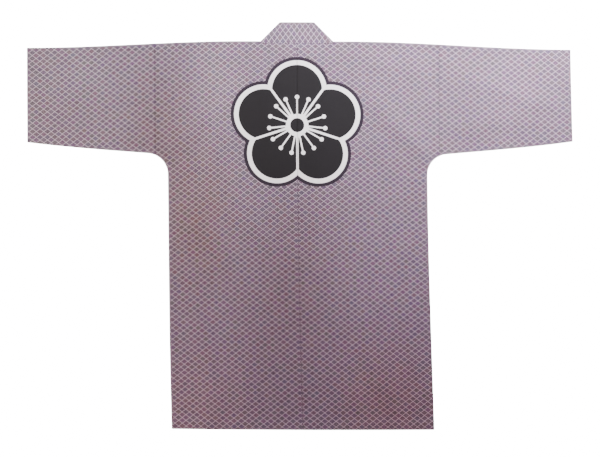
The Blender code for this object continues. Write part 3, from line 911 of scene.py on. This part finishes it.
def print_colour(n, across, down, ink):
    """The print: a diamond lattice whose cells hold five short bars.

    s and t count cells along the two diagonals. In every other cell the bars lie along t and are dark,
    in the others they lie along s and are violet. A bar is all that lies within its half width of a
    short line, so its ends are round. ink unevenly thins the bars, and no two cells took the same dye.
    """
    x = n.math("DIVIDE", across, DIAMOND_WIDE)
    y = n.math("DIVIDE", down, DIAMOND_HIGH)
    s, t = n.minus(x, y), n.plus(x, y)
    s_cell, t_cell = n.math("FLOOR", s), n.math("FLOOR", t)
    violet = n.math("FLOORED_MODULO", n.plus(s_cell, t_cell), 2.0)
    chance = n.chance(s_cell, t_cell)
    s_in, t_in = n.math("FRACT", s), n.math("FRACT", t)
    stack = n.mix_numbers(violet, s_in, t_in)
    along = n.mix_numbers(violet, t_in, s_in)
    half = BAR_HALF * BAR_PITCH

    bar = n.math("DIVIDE", n.minus(stack, BARS_START), BAR_PITCH)
    number = n.math("MINIMUM", n.math("MAXIMUM", n.math("FLOOR", bar), 0.0), BARS - 1.0)
    off = n.times(n.minus(n.minus(bar, number), 0.5), BAR_PITCH)
    end = n.minus(n.math("ABSOLUTE", n.minus(along, 0.5)), BAR_REACH - half)
    past = n.math("MAXIMUM", end, 0.0)
    edge = n.minus(n.distance(past, off), half)
    covered = n.times(n.fade(edge, BAR_BLUR, -BAR_BLUR), ink)
    from_middle = [n.math("ABSOLUTE", n.minus(place, 0.5)) for place in (s_in, t_in)]
    channel = n.fade(n.math("MAXIMUM", *from_middle), *CHANNEL_FROM)
    hue = n.mix_numbers(HUE_BY_CHANCE, violet, n.parts(chance)[0])
    cell = n.mix(covered, BETWEEN_BARS, n.mix(hue, DARK_BAR, VIOLET_BAR))
    spread = n.vectors("MULTIPLY_ADD", chance, (CELL_SPREAD,) * 3, (1.0 - 0.5 * CELL_SPREAD,) * 3)
    return n.mix(channel, n.vectors("MULTIPLY", cell, spread), GROUND)


def ray_parts(n, radius, angle):
    """A point at this angle from a ray: how far out along the ray it lies, and how far beside it."""
    return [n.times(radius, n.math(turn, angle)) for turn in ("COSINE", "SINE")]


def stamens(n, radius, angle):
    """How deep a point lies inside the stamens: a line along each ray, with a round bead at its end."""
    out, aside = ray_parts(n, radius, n.folded(angle, 2.0 * np.pi / STAMENS))
    past_end = n.minus(out, STAMEN_REACH)
    line = n.math("MAXIMUM", n.minus(n.math("ABSOLUTE", aside), STAMEN_HALF), past_end)
    bead = n.minus(n.distance(past_end, aside), BEAD_RADIUS)
    return n.times(n.math("MINIMUM", line, bead), -1.0)


def flower(n, colour, vector, across, down, ink):
    """A bold five-petalled flower over the print: black petals, white slits and stamens, two outlines.

    The plane is folded into one petal's sector. Each shape is the distance to a circle or a line there,
    and slightly uneven, as the edge of dye on cloth is.
    """
    up = n.minus(FLOWER_V, down)
    radius = n.distance(across, up)
    angle = n.math("ARCTAN2", across, up)
    sector = 2.0 * np.pi / PETALS
    within = n.folded(angle, sector)
    out, aside = ray_parts(n, radius, within)
    petal = n.minus(n.distance(n.minus(out, PETAL_OUT), aside), PETAL_RADIUS)
    shape = n.math("MINIMUM", petal, n.minus(radius, HEART_RADIUS))

    from_border = n.minus(0.5 * sector, n.math("ABSOLUTE", within))
    slit = n.minus(SLIT_HALF, n.times(radius, n.math("SINE", from_border)))
    black = n.math("MAXIMUM", n.math("MAXIMUM", petal, slit), stamens(n, radius, angle))
    black = n.math("MAXIMUM", black, n.minus(RING_RADIUS, radius))
    black = n.math("MINIMUM", black, n.minus(radius, EYE_RADIUS))

    uneven = n.times(n.minus(n.noise(vector, 420.0, 2.0), 0.5), DYE_EDGE)
    shape, black = n.plus(shape, uneven), n.plus(black, uneven)
    worn_black = n.mix(ink, FLOWER_WORN, FLOWER_BLACK)
    for edge, dye in (
        (n.minus(shape, WHITE_LINE + OUTER_LINE), FLOWER_EDGE),
        (n.minus(shape, WHITE_LINE), FLOWER_WHITE),
        (black, worn_black),
    ):
        colour = n.mix(n.fade(edge, DYE_BLUR, -DYE_BLUR), colour, dye)
    return colour


def weave_height(n, vector, across, down):
    """Plain weave: threads that go over and under each other, a sine each way, with uneven yarn."""
    waves = [n.math("SINE", n.times(place, np.pi / YARN_PITCH)) for place in (across, down)]
    yarn = n.noise(n.stretched(vector, (1.0, 0.25, 1.0)), 1400.0, 3.0)
    return n.plus(n.times(n.times(*waves), 0.5), yarn)


def finish_cloth(n, colour, vector, across, down):
    """Matt cotton: streaks and slubs of uneven yarn, slow changes of the dye, painted shade and painted light
    over the laid coat, and weave.

    The dye changes by noise. Painted shade makes the coat darker and redder evenly down towards the hem, and
    soft round patches of painted shade and painted light fade from their middle.
    """
    streaks = n.noise(n.stretched(vector, (1.0, 0.05, 1.0)), 170.0, 3.0, 0.6)
    slubs = n.noise(n.stretched(vector, (0.06, 1.0, 1.0)), 240.0, 2.0)
    place = n.place_vector()
    dye = n.noise(place, 3.6, 4.0, 0.66)
    tone = n.plus(n.times(streaks, STREAKS), n.times(slubs, SLUBS))
    tone = n.plus(tone, n.times(dye, UNEVEN_DYE))
    tone = n.plus(tone, TONE_LEAST)
    # Painted shade: the colour grows darker and redder from the neck down towards the hem
    drift = n.fade(n.parts(place)[1], SHADE_DOWN_FROM, SHADE_DOWN_TO)
    colour = n.dyed_and_shaded(colour, n.mix(drift, WHOLE, PAINTED_SHADE_AT_HEM))
    # Painted shade and painted light: soft round patches that make the coat darker in some places and lighter
    # in others
    for x, y, reach_x, reach_y, tint in PAINTED_LIGHT_AND_SHADE:
        off = n.vectors("SUBTRACT", place, (x, y, 0.0))
        off = n.vectors("MULTIPLY", off, (1.0 / reach_x, 1.0 / reach_y, 0.0))
        share = n.fade(n.distance(*n.parts(off)), 1.5, 0.0)
        colour = n.dyed_and_shaded(colour, n.mix(share, WHOLE, tint))
    return n.finish(
        {
            "Base Color": n.dyed_and_shaded(colour, tone),
            "Roughness": n.plus(CLOTH_ROUGHNESS, n.times(streaks, STREAK_ROUGHNESS)),
            "Sheen Weight": 0.04,
            "Sheen Roughness": 0.5,
            "Specular IOR Level": 0.2,
            "Normal": n.bump(weave_height(n, vector, across, down), WEAVE_DEPTH),
        }
    )


def printed_cloth(name, inner_shade=SEAM_SHADE, with_flower=False):
    """The printed cotton. The left half's print starts at another place of its repeat.

    A narrow shade lies in the armhole seam and, inner_shade strong, in the seam where across is 0.
    """
    n = Nodes(name)
    vector = n.cloth_vector()
    across, down = n.parts(vector)
    ink = n.times(n.noise(vector, 260.0, 3.0, 0.6), INK_GAIN)
    ink = n.math("MINIMUM", n.plus(INK_LEAST, ink), 1.0)
    moved = n.plus(across, n.times(n.math("LESS_THAN", across, 0.0), PHASE_LEFT))
    colour = print_colour(n, moved, down, ink)
    if with_flower:
        colour = flower(n, colour, vector, across, down, ink)
    from_inner = n.math("ABSOLUTE", across)
    from_armhole = n.math("ABSOLUTE", n.minus(from_inner, SLEEVE_SEAM))
    for distance, shade in ((from_inner, inner_shade), (from_armhole, SEAM_SHADE)):
        beside = n.mix_numbers(n.fade(distance, *SEAM_SHADE_EDGE), shade, 1.0)
        colour = n.dyed_and_shaded(colour, beside)
    return finish_cloth(n, colour, vector, across, down)


def reverse_cloth():
    """The cloth's inner face: the print hardly comes through, so it is a pale violet grey."""
    n = Nodes("cloth_reverse")
    vector = n.cloth_vector()
    through = n.fade(n.noise(vector, 90.0, 3.0), 0.35, 0.65)
    return finish_cloth(n, n.mix(through, REVERSE_PALE, REVERSE_DEEP), vector, *n.parts(vector))


def thread():
    """Dull violet-grey sewing cotton: fine noise in its colour, and a sine along x + y for the twist."""
    n = Nodes("sewing_thread")
    vector = n.place_vector()
    twist = n.math("SINE", n.times(n.plus(*n.parts(vector)), THREAD_TWIST))
    return n.finish(
        {
            "Base Color": n.mix(n.noise(vector, 600.0), THREAD_DARK, THREAD_LIGHT),
            "Roughness": 0.7,
            "Sheen Weight": 0.1,
            "Normal": n.bump(twist, TWIST_DEPTH),
        }
    )


def stitches(name, line, side, under, slant, material):
    """A row of short stitches: along a line of (u, v), each a half-sunk bead drawn out to its length.

    A stitch is a few rings of points, whose radius is the root of 1 - p^2 from end to end.
    """
    length = np.concatenate([[0.0], np.cumsum(np.linalg.norm(np.diff(line, axis=0), axis=1))])
    count = int(length[-1] / STITCH_PITCH)
    middle = (np.arange(count) + 0.5) * length[-1] / count
    slip = STITCH_SLIP * np.sin(np.arange(count) * 2.39)
    place = np.linspace(-0.96, 0.96, STITCH_RINGS)
    spot = middle[:, None] + slip[:, None] + 0.5 * STITCH_LENGTH * place
    u = np.interp(spot, length, line[:, 0])
    v = np.interp(spot, length, line[:, 1])
    z = np.full_like(u, STITCH_UNDER) if under else back_top(u, v, side) - STITCH_SUNK
    turn = np.linspace(0.0, 2.0 * np.pi, STITCH_SIDES + 1)[:-1]
    run = np.stack([np.gradient(u, axis=1), np.gradient(v, axis=1)], axis=-1)
    run /= np.linalg.norm(run, axis=-1, keepdims=True)
    size = STITCH_RADIUS * np.sqrt(1.0 - place**2)
    aside = size[:, None] * np.cos(turn)
    ring_u = u[:, :, None] - run[:, :, None, 1] * aside
    ring_v = v[:, :, None] + run[:, :, None, 0] * aside
    ring_z = z[:, :, None] + size[:, None] * np.sin(turn)
    points = with_z(ring_u + slant * ring_v, ring_v, ring_z)
    numbers = np.arange(ring_u.size).reshape(ring_u.shape)
    faces = grid_faces(np.concatenate([numbers, numbers[:, :, :1]], axis=2))
    caps = np.concatenate([numbers[:, 0], numbers[:, -1, ::-1]])
    placed = laid(points.reshape(-1, 3) * [side, 1.0, 1.0])
    return make_mesh(name, placed, faces[:, ::side].tolist() + caps[:, ::side].tolist(), [material])


def sewing(material):
    """The stitch rows of the hem and the cuffs, on the upper and on the lower layer."""
    rows = []
    level = np.ones(LINE_POINTS)
    for side, word in SIDES.items():
        hem_v = LENGTH - HEM_DEPTH + STITCH_INSET
        across = np.linspace(0.002, SIDE + SIDE_FLARE - 0.004, LINE_POINTS)
        hem = np.stack([across, hem_v * level], axis=-1)
        rows.append(stitches(f"hem_stitches_{word}", hem, side, False, 0.0, material))
        under = np.linspace(FRONT_SEAM_LOW + 0.002, SIDE + SIDE_FLARE - 0.004, LINE_POINTS)
        front_hem = np.stack([under, (hem_v - FRONT_SHORTER) * level], axis=-1)
        rows.append(stitches(f"front_hem_stitches_{word}", front_hem, side, True, 0.0, material))
        cuff_u = CUFF_ACROSS[side] - HEM_DEPTH + STITCH_INSET
        down = np.linspace(0.003, CUFF_HEIGHT[side] - 0.003, LINE_POINTS)
        cuff = np.stack([cuff_u * level, down], axis=-1)
        for layer, below in (("upper", False), ("lower", True)):
            name = f"cuff_stitches_{word}_{layer}"
            rows.append(stitches(name, cuff, side, below, CUFF_SLANT[side], material))
    return rows


def studio():
    """A white floor that only the camera sees, two round soft lamps that face down, and an even dim sky."""
    n = Nodes("white_floor")
    glow = {"Emission Color": (1.0, 1.0, 1.0, 1.0), "Emission Strength": FLOOR_GLOW}
    material = n.finish({"Base Color": (0.9, 0.9, 0.9, 1.0), "Roughness": 1.0, **glow})
    material.cycles.emission_sampling = "NONE"
    corners = np.array([[-1.0, -1.0, 0.0], [1.0, -1.0, 0.0], [1.0, 1.0, 0.0], [-1.0, 1.0, 0.0]]) * FLOOR_HALF
    corners[:, 2] = -FLOOR_BELOW
    floor = make_mesh("floor", corners, [[0, 1, 2, 3]], [material])
    floor.visible_diffuse = False
    floor.visible_glossy = False
    floor.visible_shadow = False

    for name, place, energy, colour in LAMPS:
        lamp = bpy.data.lights.new(name, "AREA")
        lamp.shape = "DISK"
        lamp.size = LAMP_SIZE
        lamp.energy = energy
        lamp.color = colour
        holder = bpy.data.objects.new(name, lamp)
        holder.location = place
        holder.visible_camera = False
        bpy.context.collection.objects.link(holder)

    world = bpy.data.worlds.new("sky")
    world.use_nodes = True
    world.node_tree.nodes["Background"].inputs["Color"].default_value = SKY_COLOUR
    world.node_tree.nodes["Background"].inputs["Strength"].default_value = SKY_STRENGTH
    bpy.context.scene.world = world


def camera():
    """Straight above the coat, with a long lens, so far away that the frame is as wide as the photograph's."""
    data = bpy.data.cameras.new("camera")
    data.lens = LENS
    data.sensor_width = SENSOR
    data.clip_end = 200.0
    holder = bpy.data.objects.new("camera", data)
    holder.location = (*FRAME_MIDDLE, SHARP_HEIGHT + FRAME_WIDTH * LENS / SENSOR)
    bpy.context.collection.objects.link(holder)
    bpy.context.scene.camera = holder


def main():
    camera()
    studio()
    inside = reverse_cloth()
    body_cloth = printed_cloth("printed_back", CENTRE_SHADE, with_flower=True)
    sleeve_cloth = printed_cloth("printed_sleeve")
    collar_cloth = printed_cloth("printed_collar")
    pieces = {}
    for side, word in SIDES.items():
        pieces["body_" + word] = body(side, [body_cloth, inside])
        pieces["sleeve_" + word] = sleeve(side, [sleeve_cloth, inside])
    pieces["collar"] = collar(collar_cloth)
    for node, piece in pieces.items():
        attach(piece, "root")
        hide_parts(node)
    rows = sewing(thread())
    for row in rows:
        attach(row, "root")


main()
